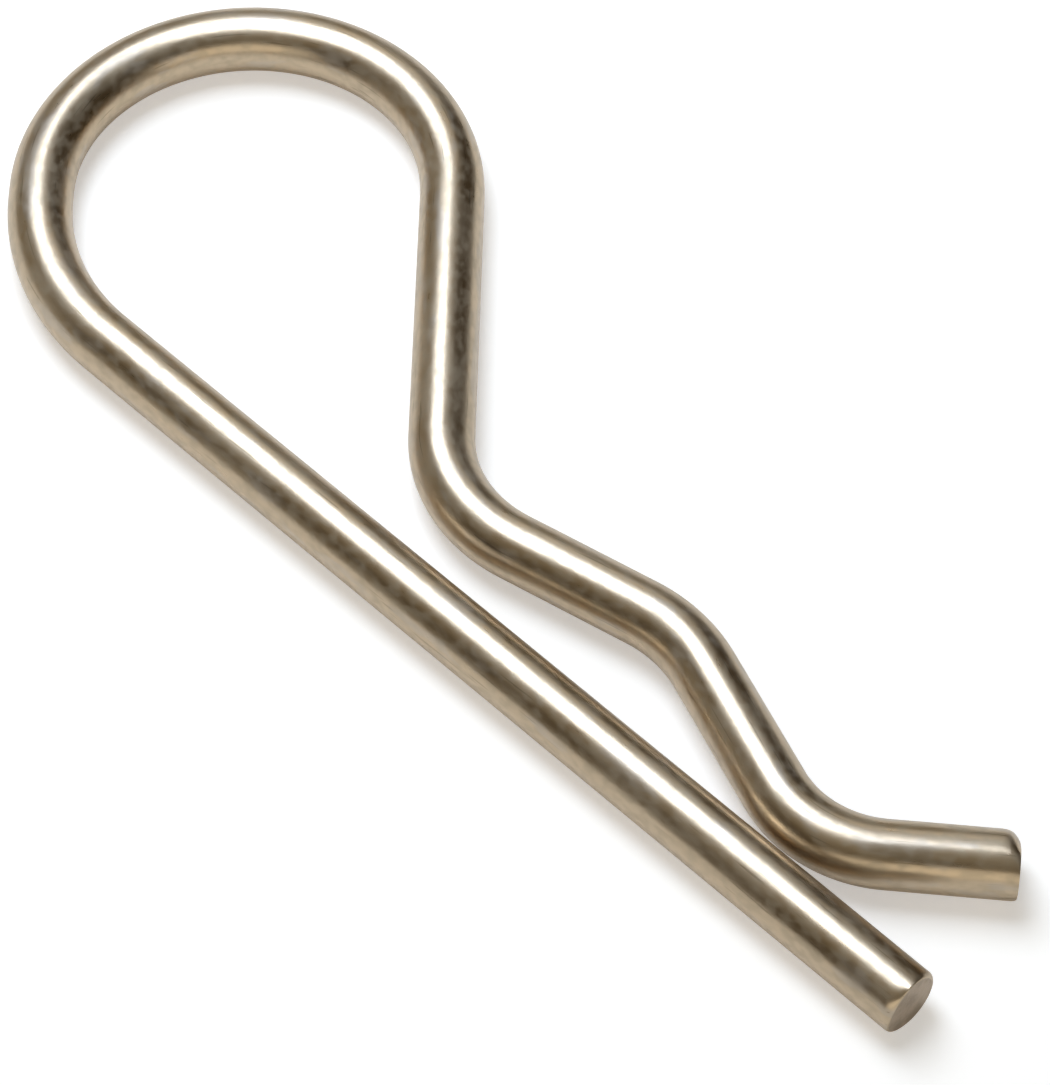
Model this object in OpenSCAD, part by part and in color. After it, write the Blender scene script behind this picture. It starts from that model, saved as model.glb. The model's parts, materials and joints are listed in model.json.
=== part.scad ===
// Hitch pin clip: one length of round spring wire, bent cold into a loop, a straight leg
// that goes through the cross hole of a shaft, and a sprung leg that snaps round the shaft.
// It lies flat. X runs from the loop to the cut ends, Y from the straight leg to the sprung
// leg, Z is up. Radii of the bends are inside radii, as on the pins that the wire bends round.

/* [Wire] */
// Diameter of the wire
wire_d = 4.76; // [3:0.01:6.4]
// How much thinner cold bending draws the wire in its bends
bend_thinning = 0.02; // [0.01:0.01:0.1]

/* [Straight leg] */
// Straight run of the leg, from its cut end to the first bend
leg_l = 77.5; // [72:0.5:110]

/* [Loop] */
// Inside diameter of the loop
loop_d = 25.4; // [22:0.1:30]
// Inside radius of the easier bend that leads from the leg into the loop
lead_r = 16; // [13:0.1:22]
// Angle of the lead-in bend
lead_angle = 46; // [10:1:75]
// Short straight run between the lead-in bend and the loop
lead_l = 1; // [0.5:0.1:5]

/* [Neck] */
// Distance of the neck from the cut end of the straight leg
neck_x = 46.3; // [44:0.1:52]
// Gap between the two legs at the neck
neck_gap = 2.8; // [1:0.1:5]
// Inside radius of the neck bend
neck_r = 8.7; // [6:0.1:9.5]

/* [Shaft seat] */
// Diameter of the shaft that the clip locks
shaft_d = 15.9; // [13:0.1:18]
// How much closer than the shaft's surface the seat stands, so that the leg grips
grip = 0.05; // [0:0.05:0.8]
// Distance of the seat from the cut end of the straight leg
seat_x = 31.4; // [29.5:0.1:33]
// Inside radius of the seat's bend
seat_r = 8.9; // [7:0.1:10]

/* [Pinch and flare] */
// Distance of the pinch, where the legs come closest, from the cut end of the straight leg
pinch_x = 14.4; // [11.5:0.1:16]
// Gap between the two legs at the pinch
pinch_gap = 0.55; // [0.1:0.05:2]
// Inside radius of the pinch bend
pinch_r = 6.5; // [3:0.1:8.5]
// Angle at which the flare turns away from the straight leg, to lead the shaft in
flare_angle = 39; // [20:1:55]
// Straight run of the flare
flare_l = 8.8; // [4:0.1:16]

/* [Cut ends] */
// Radius of the edge that the shear rolls over on the straight leg's end
leg_roll_r = 0.65; // [0.3:0.05:0.8]
// Where that edge lies: its angle from the top of the wire round to the right
leg_roll_turn = 60; // [-90:5:90]
// Radius of the rolled edge on the flare's end
flare_roll_r = 1.2; // [0.3:0.05:1.5]
// Where that one lies, from the top of the wire round to the right
flare_roll_turn = -30; // [-90:5:90]

/* [Hidden] */
$fn = 96;
wire_r = wire_d / 2;
// How far a straight run reaches into the thinner bend next to it
lap = 0.05;
// How far a cut stands clear of what it takes off
clear = 1;
// How far a roll's arc stands out of the wire, so that it meets it in clear edges
roll_lift = 0.02;
LEFT = 1;
RIGHT = -1;

// Radii of the wire's centre line, bend by bend
lead_cr = lead_r + wire_r;
loop_cr = loop_d / 2 + wire_r;
neck_cr = neck_r + wire_r;
seat_cr = seat_r + wire_r;
pinch_cr = pinch_r + wire_r;

// Centres of the bends, from the straight leg's cut end, with the leg along the X axis
loop_start_h = 180 - lead_angle;
lead_c = [-leg_l, lead_cr];
lead_end = lead_c + lead_cr * beside(loop_start_h, RIGHT) + lead_l * along(loop_start_h);
loop_c = lead_end - loop_cr * beside(loop_start_h, RIGHT);
neck_c = [-neck_x, wire_d + neck_gap + neck_cr];
seat_c = [-seat_x, shaft_d / 2 - grip + wire_r - seat_cr];
pinch_c = [-pinch_x, wire_d + pinch_gap + pinch_cr];

// Headings of the straight runs that leave the loop, the neck and the seat
loop_h = crossing(loop_c, loop_cr, neck_c, neck_cr, RIGHT);
neck_h = crossing(neck_c, neck_cr, seat_c, seat_cr, LEFT);
seat_h = crossing(seat_c, seat_cr, pinch_c, pinch_cr, RIGHT);

// Where the flare is cut off, and the foremost point of its end
flare_end = pinch_c + pinch_cr * beside(flare_angle, LEFT) + flare_l * along(flare_angle);
flare_tip = flare_end + wire_r * beside(flare_angle, LEFT);

// The origin is under the middle of the clip, on the surface that it lies on
x_low = loop_c.x - loop_cr - wire_r;
x_high = max(0, flare_tip.x);
y_low = -wire_r;
y_high = loop_c.y + loop_cr + wire_r;
middle = [(x_low + x_high) / 2, (y_low + y_high) / 2, -wire_r];

// Unit vector along a heading
function along(h) = [cos(h), sin(h)];

// Unit vector from a bend's centre to the wire, where the wire runs on heading h
function beside(h, side) = side * [sin(h), -cos(h)];

// Heading of the straight run from bend a, which turns to the given side, to bend b, which
// turns to the other side: the crossed tangent of their circles
function crossing(a, ra, b, rb, side) =
    atan2(b.y - a.y, b.x - a.x) + side * asin((ra + rb) / norm(b - a));

// Length of that run
function crossing_l(a, ra, b, rb) = sqrt(pow(norm(b - a), 2) - pow(ra + rb, 2));

// Straight run of wire along X, with what follows it at its end
module run(l, before = lap, after = lap) {
    translate([-before, 0]) rotate([0, 90, 0]) cylinder(r = wire_r, h = before + l + after);
    translate([l, 0]) children();
}

// Bend of the wire's centre line by angle a, to the left if a is positive, with what follows
// it at its end
module bend(r, a) {
    side = sign(a);
    translate([0, side * r]) {
        rotate(min(0, a) - side * 90) rotate_extrude(angle = abs(a)) translate([r, 0])
            circle(r = wire_r - bend_thinning / 2);
        rotate(a) translate([0, -side * r]) children();
    }
}

// What the shear's roll-over takes off the end that is cut at p, on heading h
module cut_roll(p, h, r, turn)
    translate(p) rotate(h) rotate([turn, 0, 0]) difference() {
        translate([-r, -wire_d, wire_r - r]) cube([r + clear, 2 * wire_d, r + clear]);
        translate([roll_lift - r, 0, roll_lift - r + wire_r]) rotate([90, 0, 0])
            cylinder(r = r, h = 3 * wire_d, center = true);
    }

// The wire as it is fed and bent, from the straight leg's cut end round to the flare
module bent_wire()
    rotate(180)
    run(leg_l, before = 0) bend(lead_cr, -lead_angle)
    run(lead_l) bend(loop_cr, loop_h - loop_start_h)
    run(crossing_l(loop_c, loop_cr, neck_c, neck_cr)) bend(neck_cr, neck_h - loop_h)
    run(crossing_l(neck_c, neck_cr, seat_c, seat_cr)) bend(seat_cr, seat_h - neck_h)
    run(crossing_l(seat_c, seat_cr, pinch_c, pinch_cr)) bend(pinch_cr, flare_angle - seat_h)
    run(flare_l, after = 0);

module wire()
    color([0.58, 0.53, 0.45]) translate(-middle) difference() {
        bent_wire();
        cut_roll([0, 0], 0, leg_roll_r, leg_roll_turn);
        cut_roll(flare_end, flare_angle, flare_roll_r, flare_roll_turn);
    }

wire();
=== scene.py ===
import json
import math

import bmesh
import bpy
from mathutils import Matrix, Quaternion, Vector


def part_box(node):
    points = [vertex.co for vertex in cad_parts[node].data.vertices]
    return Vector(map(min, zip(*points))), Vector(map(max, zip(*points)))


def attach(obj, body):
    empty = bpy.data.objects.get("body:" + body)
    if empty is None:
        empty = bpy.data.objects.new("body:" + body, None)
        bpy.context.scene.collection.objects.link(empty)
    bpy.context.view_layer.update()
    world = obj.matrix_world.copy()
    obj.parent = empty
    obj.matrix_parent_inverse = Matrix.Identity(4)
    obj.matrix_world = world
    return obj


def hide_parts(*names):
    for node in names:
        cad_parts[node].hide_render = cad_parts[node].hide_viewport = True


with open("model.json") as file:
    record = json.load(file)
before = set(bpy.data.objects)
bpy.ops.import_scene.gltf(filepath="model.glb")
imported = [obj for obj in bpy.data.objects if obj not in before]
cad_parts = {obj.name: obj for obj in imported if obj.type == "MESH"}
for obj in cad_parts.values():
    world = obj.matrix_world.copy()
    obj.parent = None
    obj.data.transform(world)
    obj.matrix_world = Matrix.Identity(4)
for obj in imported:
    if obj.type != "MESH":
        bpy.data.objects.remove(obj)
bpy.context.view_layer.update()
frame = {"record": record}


# The straight leg is the end of the clip that goes through the shaft's cross hole.
# It is hard-drawn spring steel wire, round and straight as it comes off the
# straightener, sheared square at the end, where the blade drew the top edge down.
MM = 0.001
hair = 0.001 * MM
mounts = {mount["name"]: mount for mount in frame["record"]["mounts"]}
wire_r = mounts["straight_leg"]["dims"]["r_mm"] * MM
leg_l = mounts["straight_leg"]["dims"]["length_mm"] * MM
bend_thinning = 0.02 * MM
skin_r = wire_r - bend_thinning / 2
round_steps = 80
axis_z = mounts["straight_leg"]["pos_m"][2]
leg_tip = Vector((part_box("wire")[1].x, mounts["straight_leg"]["pos_m"][1], axis_z))

# each roll is its side, in degrees from the left over the top, how many degrees it
# spreads to either side of that, its length and its depth
leg_rolls = (
    (150, 52, 0.9 * MM, 0.33 * MM),
    (10, 90, 0.4 * MM, 0.28 * MM),
    (225, 60, 0.35 * MM, 0.1 * MM),
)
leg_rim = 0.07 * MM
shaped_l = 2 * MM
roll_steps = 12
rim_steps = 3
face_rings = (0.985, 0.9, 0.75, 0.58, 0.4, 0.22)


def along(heading):
    """One unit straight ahead at a heading in degrees."""
    return Vector((math.cos(math.radians(heading)), math.sin(math.radians(heading)), 0))


def leftward(heading):
    """One unit to the left of a heading in degrees."""
    return along(heading + 90)


def facing(heading, side):
    """One unit out of the wire, side degrees round it from the left over the top."""
    return math.cos(math.radians(side)) * leftward(heading) + Vector(
        (0, 0, math.sin(math.radians(side)))
    )


def choose(wanted):
    """Selects those points of the wire for which wanted(place) is true."""
    bpy.ops.mesh.select_all(action="DESELECT")
    skin = bmesh.from_edit_mesh(clip_wire.data)
    for point in skin.verts:
        point.select = wanted(point.co)
    skin.select_flush(True)
    bmesh.update_edit_mesh(clip_wire.data)


def choose_ring(centre, heading, side=None, beyond=0.0):
    """Selects the ring round a point of the axis, or what lies beyond that on one side."""
    outward = Vector() if side is None else facing(heading, side)
    choose(
        lambda place: abs((place - centre).dot(along(heading))) < hair
        and (place - centre).length < 1.1 * wire_r
        and (side is None or (place - centre).dot(outward) > beyond + hair)
    )


def draw_out(step):
    """Extrudes the open end of the wire by a step."""
    bpy.ops.mesh.extrude_region_move(TRANSFORM_OT_translate={"value": step})


def sunk(behind, length):
    """How far a rounding of this length has sunk at a distance behind the face: 0 to 1."""
    arc = 0.92
    reach = arc * max(0, 1 - behind / length)
    return (1 - math.sqrt(1 - reach**2)) / (1 - math.sqrt(1 - arc**2))


def shear_off(at, heading, rolls, rim):
    """Closes the wire with a sheared face. The open end lies shaped_l behind it."""
    longest = max(length for _, _, length, _ in rolls)
    behinds = {longest * k / roll_steps for k in range(1, roll_steps + 1)}
    behinds |= {rim * k / rim_steps for k in range(rim_steps + 1)}
    last = shaped_l
    for behind in sorted(behinds, reverse=True):
        draw_out((last - behind) * along(heading))
        centre = at - behind * along(heading)
        for side, spread, length, depth in rolls:
            outward = facing(heading, side)
            axes = (along(heading), along(heading).cross(outward), outward)
            beyond = skin_r * math.cos(math.radians(spread))
            press = 1 - sunk(behind, length) * depth / (skin_r - beyond)
            press /= 1 - sunk(last, length) * depth / (skin_r - beyond)
            choose_ring(centre, heading, side, beyond)
            bpy.ops.transform.resize(
                value=(1, 1, press),
                orient_type="GLOBAL",
                orient_matrix=axes,
                orient_matrix_type="GLOBAL",
                center_override=centre + beyond * outward,
            )
        choose_ring(centre, heading)
        narrow = 1 - sunk(behind, rim) * rim / skin_r
        narrow /= 1 - sunk(last, rim) * rim / skin_r
        bpy.ops.transform.resize(value=(narrow,) * 3, center_override=centre)
        last = behind
    size = 1.0
    for to in face_rings:
        draw_out((0, 0, 0))
        bpy.ops.transform.resize(value=(to / size,) * 3, center_override=at)
        size = to
    bpy.ops.mesh.merge(type="CENTER")


bpy.ops.object.select_all(action="DESELECT")
bpy.ops.mesh.primitive_circle_add(
    vertices=round_steps,
    radius=skin_r,
    location=leg_tip - Vector((shaped_l, 0, 0)),
    rotation=(0, math.pi / 2, 0),
)
clip_wire = bpy.context.object
clip_wire.name = "clip_wire"
bpy.ops.object.transform_apply(location=True, rotation=True, scale=True)
bpy.ops.object.mode_set(mode="EDIT")
bpy.ops.mesh.select_all(action="SELECT")
shear_off(leg_tip, 0, leg_rolls, leg_rim)


# The loop is the spring, and the part that the fingers pull. The wire is bent
# round pins in one plane: a first easy bend off the straight leg, a short run, and
# then half a turn that brings the wire back over the leg.
loop_r = mounts["loop_eye"]["dims"]["r_mm"] * MM + wire_r
lead_r = 16 * MM + wire_r
lead_angle = 46
lead_l = 1 * MM
bend_step = 1.5


class Former:
    """A wire former, which feeds the open end of the wire on or bends it round a pin.

    laid keeps what it has made of the wire's middle line: where each piece starts,
    its heading, the length fed before it, its own length, and its pin and radius,
    which is below 0 where it turns to the right."""

    def __init__(self, at, heading):
        self.at, self.heading, self.fed, self.laid = at, heading, 0.0, []

    def feed(self, length, drawn=None):
        """Feeds length on, of which the mesh is drawn out by drawn where that is less."""
        draw_out((length if drawn is None else drawn) * along(self.heading))
        self.laid.append((self.at, self.heading, self.fed, length, None, 0))
        self.at = self.at + length * along(self.heading)
        self.fed += length

    def bend(self, radius, turn):
        """Bends the wire by turn degrees, to the left where turn is positive."""
        side = math.copysign(1, turn)
        pin = self.at + side * radius * leftward(self.heading)
        bpy.ops.mesh.spin(
            steps=math.ceil(abs(turn) / bend_step),
            angle=math.radians(-turn),
            center=pin,
            axis=(0, 0, 1),
        )
        length = radius * math.radians(abs(turn))
        self.laid.append((self.at, self.heading, self.fed, length, pin, side * radius))
        self.heading += turn
        self.at = pin - side * radius * leftward(self.heading)
        self.fed += length


former = Former(leg_tip, 180)
choose_ring(leg_tip - Vector((shaped_l, 0, 0)), 0)
former.feed(leg_l, leg_l - shaped_l)
former.bend(lead_r, -lead_angle)
former.feed(lead_l)
loop_pin = former.at + loop_r * leftward(former.heading - 180)


# The sprung leg runs over the straight one in waves: a neck that bars the shaft
# from the loop, a seat that grips it, a pinch that all but touches the straight leg,
# and a flare that opens the way in.
shaft_r = mounts["shaft_seat"]["dims"]["r_mm"] * MM
neck_x, neck_gap, neck_r = 46.3 * MM, 2.8 * MM, 8.7 * MM + wire_r
seat_x, seat_grip, seat_r = 31.4 * MM, 0.05 * MM, 8.9 * MM + wire_r
pinch_x, pinch_gap, pinch_r = 14.4 * MM, 0.55 * MM, 6.5 * MM + wire_r
flare_angle = 39
flare_l = 8.8 * MM
flare_rolls = (
    (50, 90, 0.8 * MM, 0.5 * MM),
    (42, 60, 1.3 * MM, 0.6 * MM),
    (225, 60, 0.4 * MM, 0.12 * MM),
)
flare_rim = 0.03 * MM
crease_angle = 40


def crossing(pin_a, r_a, pin_b, r_b, side):
    """Heading and length of the straight run from one bend over to the opposite one."""
    gap = pin_b - pin_a
    lean = side * math.asin((r_a + r_b) / gap.length)
    heading = math.degrees(math.atan2(gap.y, gap.x) + lean)
    return heading, math.sqrt(gap.length**2 - (r_a + r_b) ** 2)


neck_pin = leg_tip + Vector((-neck_x, 2 * wire_r + neck_gap + neck_r, 0))
seat_pin = leg_tip + Vector((-seat_x, shaft_r - seat_grip + wire_r - seat_r, 0))
pinch_pin = leg_tip + Vector((-pinch_x, 2 * wire_r + pinch_gap + pinch_r, 0))
limb_heading, limb_l = crossing(loop_pin, loop_r, neck_pin, neck_r, -1)
rise_heading, rise_l = crossing(neck_pin, neck_r, seat_pin, seat_r, 1)
fall_heading, fall_l = crossing(seat_pin, seat_r, pinch_pin, pinch_r, -1)

former.bend(loop_r, limb_heading - former.heading)
former.feed(limb_l)
former.bend(neck_r, rise_heading - former.heading)
former.feed(rise_l)
former.bend(seat_r, fall_heading - former.heading)
former.feed(fall_l)
former.bend(pinch_r, flare_angle - former.heading)
former.feed(flare_l, flare_l - shaped_l)
shear_off(former.at, former.heading, flare_rolls, flare_rim)

bpy.ops.mesh.select_all(action="SELECT")
bpy.ops.mesh.remove_doubles(threshold=hair)
bpy.ops.mesh.normals_make_consistent(inside=False)
bpy.ops.mesh.select_all(action="DESELECT")
bpy.ops.object.mode_set(mode="OBJECT")
bpy.ops.object.shade_smooth_by_angle(angle=math.radians(crease_angle))


# The plating is thin bright zinc over the drawn wire, gone a little warm. It follows
# the wire through its bends, and shows the die's fine lengthwise lines and soft dull
# patches where the bath and handling left them.
def unbent(place):
    """Where a point of the skin lay in the straight wire: along it, across it and up."""
    slack = 0.01 * MM
    up = place.z - axis_z
    flat = Vector((place.x, place.y, axis_z))
    for start, heading, fed, length, pin, radius in former.laid:
        if pin is None:
            on = (flat - start).dot(along(heading))
            across = (flat - start).dot(leftward(heading))
        else:
            arm = (pin - flat) * math.copysign(1, radius)
            turned = arm.to_2d().angle_signed(leftward(heading).to_2d())
            on = turned * radius
            across = radius - math.copysign(arm.length, radius)
        if -slack <= on <= length + slack and abs(across) < wire_r * 1.01:
            return fed + on, across, up
    return None


lay = clip_wire.data.attributes.new("unbent", "FLOAT_VECTOR", "POINT")
for point, entry in zip(clip_wire.data.vertices, lay.data):
    entry.vector = unbent(point.co)


class Reading:
    """A value that changes over a surface. Sums on it add Math nodes."""

    def __init__(self, finish, socket):
        self.finish, self.socket = finish, socket

    def sum(self, operation, *values):
        return self.finish.add("Math", {"operation": operation}, dict(enumerate(values)))

    def __add__(self, other):
        return self.sum("ADD", self, other)

    def __radd__(self, other):
        return self.sum("ADD", other, self)

    def __sub__(self, other):
        return self.sum("SUBTRACT", self, other)

    def __rsub__(self, other):
        return self.sum("SUBTRACT", other, self)

    def __mul__(self, other):
        return self.sum("MULTIPLY", self, other)

    def __rmul__(self, other):
        return self.sum("MULTIPLY", other, self)


class Finish:
    """A material, or the tree of a world, empty at first, that nodes are added to."""

    def __init__(self, name, tree=None):
        if tree is None:
            self.material = bpy.data.materials.new(name)
            self.material.use_nodes = True
            tree = self.material.node_tree
        self.tree = tree
        self.tree.nodes.clear()

    def add(self, kind, settings=None, sockets=None, out=0):
        """Adds a node, with its settings first and then its sockets; gives one output."""
        node = self.tree.nodes.new("ShaderNode" + kind)
        for name, value in (settings or {}).items():
            setattr(node, name, value)
        shown = [socket for socket in node.inputs if socket.enabled]
        for name, value in (sockets or {}).items():
            if isinstance(name, int):
                socket = shown[name]
            else:
                socket = next(s for s in shown if s.name == name)
            if isinstance(value, Reading):
                self.tree.links.new(value.socket, socket)
            else:
                socket.default_value = value
        outs = [socket for socket in node.outputs if socket.enabled]
        if not outs:
            return None
        if isinstance(out, str):
            return Reading(self, next(s for s in outs if s.name == out))
        return Reading(self, outs[out])

    def noise(self, place, scale, detail=2.0, rough=0.5):
        """Soft noise between 0 and 1, with its grain in millimetres along each axis."""
        at = self.add("Mapping", {}, {"Vector": place, "Scale": [1000 / s for s in scale]})
        return self.add(
            "TexNoise", {}, {"Vector": at, "Scale": 1.0, "Detail": detail, "Roughness": rough}
        )

    def step(self, value, low, high):
        """Eases a value from 0 at low up to 1 at high."""
        return self.add(
            "MapRange",
            {"interpolation_type": "SMOOTHSTEP"},
            {"Value": value, "From Min": low, "From Max": high, "To Min": 0.0, "To Max": 1.0},
        )

    def blend(self, amount, one, other):
        """A colour between two, at other where amount is 1."""
        return self.add("Mix", {"data_type": "RGBA"}, {"Factor": amount, "A": one, "B": other})

    def bump(self, height):
        """The surface raised by a height in metres."""
        return self.add("Bump", {}, {"Strength": 1.0, "Distance": 1.0, "Height": height})


zinc_tint = (0.571, 0.452, 0.313, 1)
hazy_tint = (0.591, 0.475, 0.334, 1)
spot_tint = (0.512, 0.415, 0.289, 1)
smear_tint, smear_strength = (0.532, 0.465, 0.385, 1), 0.5
mark_tint, mark_strength = (0.20, 0.15, 0.10, 1), 0.45
peel_depth = 0.011 * MM
grain_depth = 0.001 * MM
line_depth = 0.0008 * MM

plating = Finish("plated_wire")
skin = plating.add("Attribute", {"attribute_name": "unbent"}, out="Vector")
haze = plating.step(plating.noise(skin, (7, 3, 3), 2), 0.42, 0.62)
spots = plating.step(plating.noise(skin, (0.9, 0.6, 0.6), 1), 0.34, 0.74)
smears = plating.step(plating.noise(skin, (5, 1.3, 1.3), 2), 0.56, 0.66)
marks = plating.step(plating.noise(skin, (5, 0.24, 0.24), 1), 0.67, 0.75)
lines = plating.noise(skin, (14, 0.13, 0.13), 2)
peel = plating.noise(skin, (1.4, 0.8, 0.8), 1)
grain = plating.noise(skin, (0.45, 0.32, 0.32), 1)
tint = plating.blend(haze, zinc_tint, hazy_tint)
tint = plating.blend(spots, tint, spot_tint)
tint = plating.blend(smear_strength * smears, tint, smear_tint)
tint = plating.blend(mark_strength * marks, tint, mark_tint)
metal = plating.add(
    "BsdfPrincipled",
    {},
    {
        "Base Color": tint,
        "Metallic": 1 - 0.08 * haze - 0.17 * spots,
        "Roughness": 0.26 + 0.03 * haze + 0.05 * spots + 0.04 * lines,
        "Normal": plating.bump(peel_depth * peel + grain_depth * grain + line_depth * lines),
    },
)
plating.add("OutputMaterial", {}, {"Surface": metal})
clip_wire.data.materials.append(plating.material)


# The sheared faces are bare of polish: the blade burnished a thin top edge and the
# rest tore, which leaves a dull grey, finely pitted face under the plating.
torn_tint = (0.50, 0.41, 0.32, 1)
cloud_tint = (0.40, 0.33, 0.255, 1)
pit_depth = 0.03 * MM
cloud_depth = 0.08 * MM
square_on = 0.99

shear = Finish("sheared_face")
face_place = shear.add("TexCoord", {}, out="Object")
pits = shear.noise(face_place, (0.25, 0.25, 0.25), 4, 0.6)
clouds = shear.noise(face_place, (1.4, 1.4, 1.4), 2)
torn = shear.add(
    "BsdfPrincipled",
    {},
    {
        "Base Color": shear.blend(shear.step(clouds, 0.35, 0.65), torn_tint, cloud_tint),
        "Metallic": 1.0,
        "Roughness": 0.45 + 0.2 * pits,
        "Normal": shear.bump(pit_depth * pits + cloud_depth * clouds),
    },
)
shear.add("OutputMaterial", {}, {"Surface": torn})
clip_wire.data.materials.append(shear.material)
ends = ((leg_tip, 0), (former.at, former.heading))
for face in clip_wire.data.polygons:
    if any(
        face.normal.dot(along(heading)) > square_on and (face.center - at).length < wire_r
        for at, heading in ends
    ):
        face.material_index = 1

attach(clip_wire, "root")
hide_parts("wire")


# The clip lies on a plain pale studio floor. It gives light of its own to the camera
# and to the metal only, so that it shows pale round a clip that isn't lit the more.
floor_r = 2.4
floor_sides = 96
floor_tint = (0.85, 0.8, 0.715, 1)
seen_glow = 0.25
shown_glow = 0.17

bpy.ops.object.select_all(action="DESELECT")
bpy.ops.mesh.primitive_circle_add(vertices=floor_sides, radius=floor_r, fill_type="NGON")
floor = bpy.context.object
floor.name = "studio_floor"

paper = Finish("pale_floor")
seen = paper.add("LightPath", {}, out="Is Camera Ray")
mirrored = paper.add("LightPath", {}, out="Is Glossy Ray")
through = paper.add("LightPath", {}, out="Is Transmission Ray")
shown = seen.sum("MAXIMUM", seen, mirrored.sum("MAXIMUM", mirrored, through))
board = paper.add(
    "BsdfPrincipled",
    {},
    {
        "Base Color": floor_tint,
        "Roughness": 0.9,
        "Specular IOR Level": 0.0,
        "Emission Color": (1, 1, 1, 1),
        "Emission Strength": seen_glow * seen + shown_glow * shown,
    },
)
paper.add("OutputMaterial", {}, {"Surface": board})
floor.data.materials.append(paper.material)


# One large softbox over the loop lights the clip, with a low pale card in front of the
# cut ends. A pale patch of the far wall and a faint wall behind the loop show in the
# metal too. The room round them is dim, and cooler on the side of the sprung leg.
def lamp(name, heading, elevation, lean, distance, half_wide, half_high, level, colour):
    """A flat lamp that faces the clip, half wide and half high in degrees from there."""
    up = math.radians(elevation)
    away = math.cos(up) * along(heading) + Vector((0, 0, math.sin(up)))
    bpy.ops.object.light_add(type="AREA", location=away * distance)
    light = bpy.context.object
    light.name = name
    light.visible_camera = False
    turn = away.to_track_quat("Z", "Y") @ Quaternion((0, 0, 1), math.radians(lean))
    light.rotation_euler = turn.to_euler()
    wide = 2 * distance * math.tan(math.radians(half_wide))
    high = 2 * distance * math.tan(math.radians(half_high))
    light.data.shape = "RECTANGLE"
    light.data.size, light.data.size_y = wide, high
    light.data.energy = level * math.pi * wide * high
    light.data.color = colour


lamp("softbox", 166.6, 65.9, -12, 0.35, 15.1, 21.1, 6.1, (0.87, 1.01, 1.25))
lamp("front_card", 322, 16, 0, 1.6, 43, 14, 1.0, (1.01, 0.955, 0.84))
lamp("far_wall", 129, 35.7, 0, 1.6, 10.8, 9, 0.76, (1, 0.97, 0.88))
lamp("back_wall", 180, 17, 0, 1.6, 65, 17, 0.19, (1.02, 0.94, 0.76))

low_tint = (0.038, 0.026, 0.009, 1)
warm_tint = (0.32, 0.267, 0.17, 1)
cool_tint = (0.265, 0.268, 0.252, 1)
cool_side = along(55)
upward = Vector((0, 0, 1)) - 0.1 * cool_side

room = bpy.data.worlds.new("room")
room.use_nodes = True
bpy.context.scene.world = room
dim = Finish("room", room.node_tree)
way = dim.add("TexCoord", {}, out="Generated")
height = dim.add("VectorMath", {"operation": "DOT_PRODUCT"}, {0: way, 1: upward}, "Value")
across = dim.add("VectorMath", {"operation": "DOT_PRODUCT"}, {0: way, 1: cool_side}, "Value")
ceiling = dim.blend(dim.step(across, -0.8, 0.8), warm_tint, cool_tint)
shade = dim.blend(dim.step(height, 0.41, 1.13), low_tint, ceiling)
glow = dim.add("Background", {}, {"Color": shade, "Strength": 1.0})
dim.add("OutputWorld", {}, {"Surface": glow})


# The camera stands in front of the cut ends and looks down at the clip through a long
# lens, at the same angle as in the photograph.
view_side = 44.775
view_height = 54
view_distance = 0.3174
view_target = Vector((0.005347, -0.007348, 0.00238))
side, up = math.radians(view_side), math.radians(view_height)
back = Vector(
    (math.sin(side) * math.cos(up), -math.cos(side) * math.cos(up), math.sin(up))
)
bpy.ops.object.camera_add(location=view_target + back * view_distance)
camera = bpy.context.object
camera.rotation_euler = (-back).to_track_quat("-Z", "Y").to_euler()
camera.data.lens = 151.88
camera.data.sensor_width = 36
camera.data.clip_start, camera.data.clip_end = 0.01, 20
bpy.context.scene.camera = camera
bpy.context.scene.view_settings.view_transform = "Standard"
